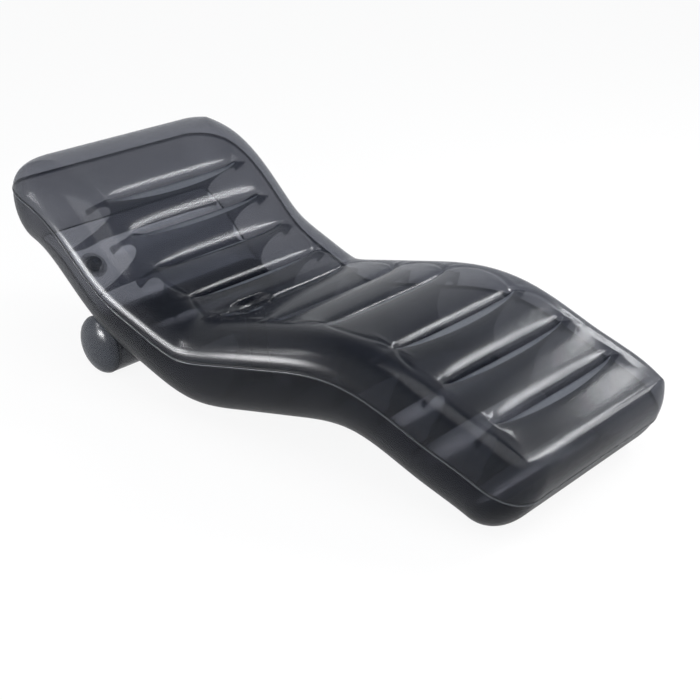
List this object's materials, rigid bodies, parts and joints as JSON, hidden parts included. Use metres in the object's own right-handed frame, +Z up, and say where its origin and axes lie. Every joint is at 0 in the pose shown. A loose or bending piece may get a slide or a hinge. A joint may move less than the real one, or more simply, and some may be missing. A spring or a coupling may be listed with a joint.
{
  "type": "inflatable pool lounge",
  "caption": "Reclining inflatable pool lounge of smoke-tinted see-through film, with ridged top, inner webs, back bolster, drain hole and capped valves.",
  "frame": {"origin": "on the floor, under the middle of the lounge's bounding box", "axes": "+X from the head end to the foot end, +Y towards the side away from the camera, +Z up"},
  "size_m": [1.7736, 0.8074, 0.6017],
  "materials": {
    "smoke_film": "glossy smoke-grey see-through vinyl film",
    "inner_film": "smooth dark see-through vinyl film, inside the chamber",
    "valve_vinyl": "soft grey half-clear vinyl",
    "valve_black": "soft black vinyl, lightly matte"
  },
  "bodies": {
    "lounge": {"bolster_end_far": "smoke_film", "bolster_end_near": "smoke_film", "bolster_tube": "smoke_film", "bolster_valve_body": "valve_black", "bolster_valve_flange": "valve_vinyl", "bolster_weld_strip": "inner_film", "bottom_sheet": "smoke_film", "drain_sleeve": "inner_film", "main_valve_body": "valve_black", "main_valve_flange": "valve_vinyl", "side_band": "smoke_film", "top_sheet": "smoke_film", "web_01": "inner_film", "web_02": "inner_film", "web_03": "inner_film", "web_04": "inner_film", "web_05_far": "inner_film", "web_05_near": "inner_film", "web_06": "inner_film", "web_07": "inner_film", "web_08": "inner_film", "web_09": "inner_film", "web_10": "inner_film"},
    "main_cap": {"main_valve_cap": "valve_black", "main_valve_strap": "valve_black"},
    "main_flap": {"main_valve_flap": "valve_vinyl"},
    "bolster_cap": {"bolster_valve_cap": "valve_black", "bolster_valve_strap": "valve_black"},
    "bolster_flap": {"bolster_valve_flap": "valve_vinyl"}
  },
  "joints": [
    {"name": "main_cap_hinge", "type": "hinge", "parent": "lounge", "child": "main_cap", "pos_m": [-0.72072, -0.23572, 0.30655], "axis": [0, 1, 0], "range_deg": [0, 100]},
    {"name": "main_flap_hinge", "type": "hinge", "parent": "lounge", "child": "main_flap", "pos_m": [-0.69265, -0.23572, 0.30863], "axis": [0, -1, 0], "range_deg": [0, 60], "stiffness_Nm_per_rad": 0.001},
    {"name": "bolster_cap_hinge", "type": "hinge", "parent": "lounge", "child": "bolster_cap", "pos_m": [-0.59393, 0.3446, 0.1024], "axis": [1, 0, 0], "range_deg": [0, 100]},
    {"name": "bolster_flap_hinge", "type": "hinge", "parent": "lounge", "child": "bolster_flap", "pos_m": [-0.59393, 0.3317, 0.0932], "axis": [-1, 0, 0], "range_deg": [0, 60], "stiffness_Nm_per_rad": 0.0002}
  ]
}
